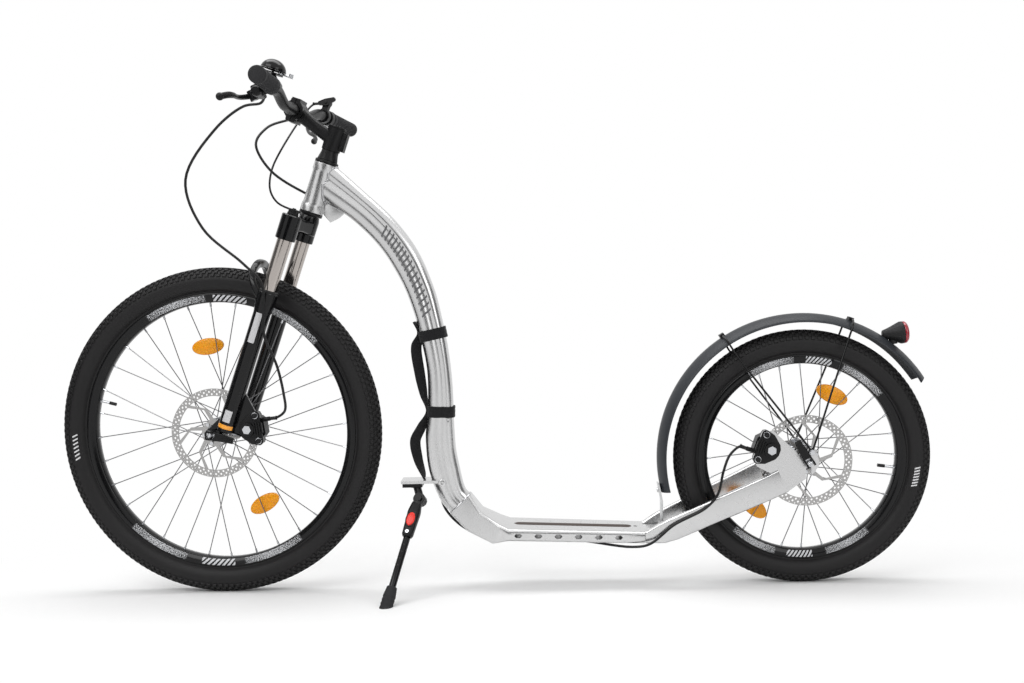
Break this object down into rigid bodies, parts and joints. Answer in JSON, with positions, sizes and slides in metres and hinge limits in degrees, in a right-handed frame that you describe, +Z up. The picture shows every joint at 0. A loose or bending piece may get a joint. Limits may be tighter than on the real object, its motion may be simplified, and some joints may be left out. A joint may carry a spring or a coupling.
{
  "type": "kick bike",
  "caption": "Kick bike on its side stand: low aluminium deck, sprung fork, large front wheel, small rear wheel with mudguard, disc brakes, flat bar and carry strap.",
  "frame": {"origin": "centre of the parked bike's box in plan, on the ground", "axes": "+Z up, -X the way the bike heads, +Y to its right; the bike leans 5 degrees to its left onto its stand"},
  "size_m": [1.76, 0.6702, 1.0341],
  "materials": {
    "bare_aluminium": "bare, brushed bright",
    "gloss_black_metal": "gloss black paint",
    "satin_black_metal": "satin black",
    "steel": "bright",
    "tyre_rubber": "matt, knobbed",
    "grip_rubber": "soft matt",
    "black_rubber": "matt",
    "black_plastic": "satin moulded",
    "mudguard_plastic": "dark grey, satin",
    "amber_plastic": "prismatic amber",
    "red_lens": "clear red",
    "red_plastic": "moulded",
    "webbing": "woven, matt"
  },
  "bodies": {
    "frame": {"head_tube": "bare_aluminium", "headset_upper": "satin_black_metal", "headset_lower": "satin_black_metal", "main_tube": "bare_aluminium", "deck": "bare_aluminium", "stay_left": "bare_aluminium", "stay_right": "bare_aluminium", "fender_bracket": "satin_black_metal", "rear_fender": "mudguard_plastic", "fender_wires": "steel", "rear_light_housing": "black_plastic", "rear_light_lens": "red_lens", "stand_bracket": "satin_black_metal", "rear_caliper": "satin_black_metal", "rear_brake_hose": "black_plastic", "carry_strap": "webbing", "rear_axle": "steel"},
    "steering": {"fork_crown": "gloss_black_metal", "headset_spacer": "satin_black_metal", "stem_cap": "satin_black_metal", "stem": "satin_black_metal", "stem_faceplate": "satin_black_metal", "handlebar": "satin_black_metal", "grip_left": "grip_rubber", "grip_right": "grip_rubber", "brake_body_left": "satin_black_metal", "brake_body_right": "satin_black_metal", "bell_base": "black_plastic", "bell_dome": "gloss_black_metal", "lockout_clamp": "black_plastic", "lockout_cable": "black_plastic", "front_brake_hose": "black_plastic", "fork_spring": "steel"},
    "lowers": {"fork_lowers": "gloss_black_metal", "front_caliper": "satin_black_metal", "front_axle": "steel"},
    "front_wheel": {"front_tyre": "tyre_rubber", "front_rim": "gloss_black_metal", "front_hub_and_spokes": "steel", "front_rotor": "steel", "front_reflector_1": "amber_plastic", "front_reflector_2": "amber_plastic"},
    "rear_wheel": {"rear_tyre": "tyre_rubber", "rear_rim": "gloss_black_metal", "rear_hub_and_spokes": "steel", "rear_rotor": "steel", "rear_reflector_1": "amber_plastic", "rear_reflector_2": "amber_plastic"},
    "left_brake_blade": {"brake_lever_left": "satin_black_metal"},
    "right_brake_blade": {"brake_lever_right": "satin_black_metal"},
    "lockout_switch": {"lockout_lever": "black_plastic"},
    "fork_dial": {"lockout_dial": "black_plastic"},
    "fork_preload": {"preload_knob": "black_plastic"},
    "bell_hammer": {"bell_striker": "steel"},
    "stand_upper": {"stand_leg_upper": "black_plastic"},
    "stand_lower": {"stand_leg_lower": "satin_black_metal", "stand_foot": "black_rubber"},
    "stand_release": {"stand_button": "red_plastic"},
    "front_quick_release": {"qr_lever_front": "satin_black_metal"},
    "rear_quick_release": {"qr_lever_rear": "satin_black_metal"}
  },
  "joints": [
    {"name": "steering_turn", "type": "hinge", "parent": "frame", "child": "steering", "pos_m": [-0.3276, 0.01089, 0.81544], "axis": [0.342, -0.0819, 0.9361], "range_deg": [-62, 68], "deforming": ["rear_brake_hose"]},
    {"name": "fork_slide", "type": "slide", "parent": "steering", "child": "lowers", "axis": [0.342, -0.0819, 0.9361], "range_m": [0, 0.063], "stiffness_N_per_m": 4000, "springref_m": -0.03, "deforming": ["front_brake_hose", "fork_spring"]},
    {"name": "front_wheel_spin", "type": "hinge", "parent": "lowers", "child": "front_wheel", "pos_m": [-0.54897, 0.05525, 0.33189], "axis": [0.0459, 0.9965, 0.0704], "continuous": true},
    {"name": "rear_wheel_spin", "type": "hinge", "parent": "frame", "child": "rear_wheel", "pos_m": [0.62498, 0.06001, 0.25403], "axis": [0, 0.9962, 0.0872], "continuous": true},
    {"name": "left_brake_pull", "type": "hinge", "parent": "steering", "child": "left_brake_blade", "pos_m": [-0.40265, -0.18316, 0.95681], "axis": [-0.3718, -0.1432, 0.9172], "range_deg": [0, 20], "stiffness_Nm_per_rad": 1.2, "springref_deg": -11.46},
    {"name": "right_brake_pull", "type": "hinge", "parent": "steering", "child": "right_brake_blade", "pos_m": [-0.38549, 0.18923, 0.98312], "axis": [0.3631, -0.0464, -0.9306], "range_deg": [0, 20], "stiffness_Nm_per_rad": 1.2, "springref_deg": -11.46},
    {"name": "lockout_switch_turn", "type": "hinge", "parent": "steering", "child": "lockout_switch", "pos_m": [-0.34184, 0.15906, 1.02482], "axis": [0.1789, 0.9837, 0.0207], "range_deg": [0, 55]},
    {"name": "lockout_dial_turn", "type": "hinge", "parent": "steering", "child": "fork_dial", "pos_m": [-0.36234, 0.07838, 0.76353], "axis": [0.342, -0.0819, 0.9361], "range_deg": [0, 90]},
    {"name": "preload_turn", "type": "hinge", "parent": "steering", "child": "fork_preload", "pos_m": [-0.36803, -0.04518, 0.7548], "axis": [0.342, -0.0819, 0.9361], "range_deg": [0, 330]},
    {"name": "bell_strike", "type": "hinge", "parent": "steering", "child": "bell_hammer", "pos_m": [-0.353, -0.17341, 0.99661], "axis": [0.342, -0.0819, 0.9361], "range_deg": [-15, 15], "stiffness_Nm_per_rad": 0.08},
    {"name": "kickstand_fold", "type": "hinge", "parent": "frame", "child": "stand_upper", "pos_m": [-0.14161, 0.02342, 0.18804], "axis": [-0.1205, -0.8979, 0.4234], "range_deg": [0, 92]},
    {"name": "stand_length", "type": "slide", "parent": "stand_upper", "child": "stand_lower", "axis": [-0.2314, -0.4931, -0.8386], "range_m": [-0.015, 0.02]},
    {"name": "stand_button_press", "type": "slide", "parent": "stand_upper", "child": "stand_release", "axis": [0.0944, 0.8466, -0.5239], "range_m": [0, 0.002], "stiffness_N_per_m": 800, "springref_m": -0.002},
    {"name": "front_quick_release_turn", "type": "hinge", "parent": "lowers", "child": "front_quick_release", "pos_m": [-0.55222, -0.0152, 0.32692], "axis": [-0.2081, 0.0785, -0.975], "range_deg": [0, 170]},
    {"name": "rear_quick_release_turn", "type": "hinge", "parent": "frame", "child": "rear_quick_release", "pos_m": [0.62498, -0.01839, 0.24717], "axis": [0.866, -0.0436, 0.4981], "range_deg": [0, 170]}
  ],
  "couplings": [
    {"joint": "lockout_dial_turn", "follows": "lockout_switch_turn", "ratio": 1.6}
  ]
}
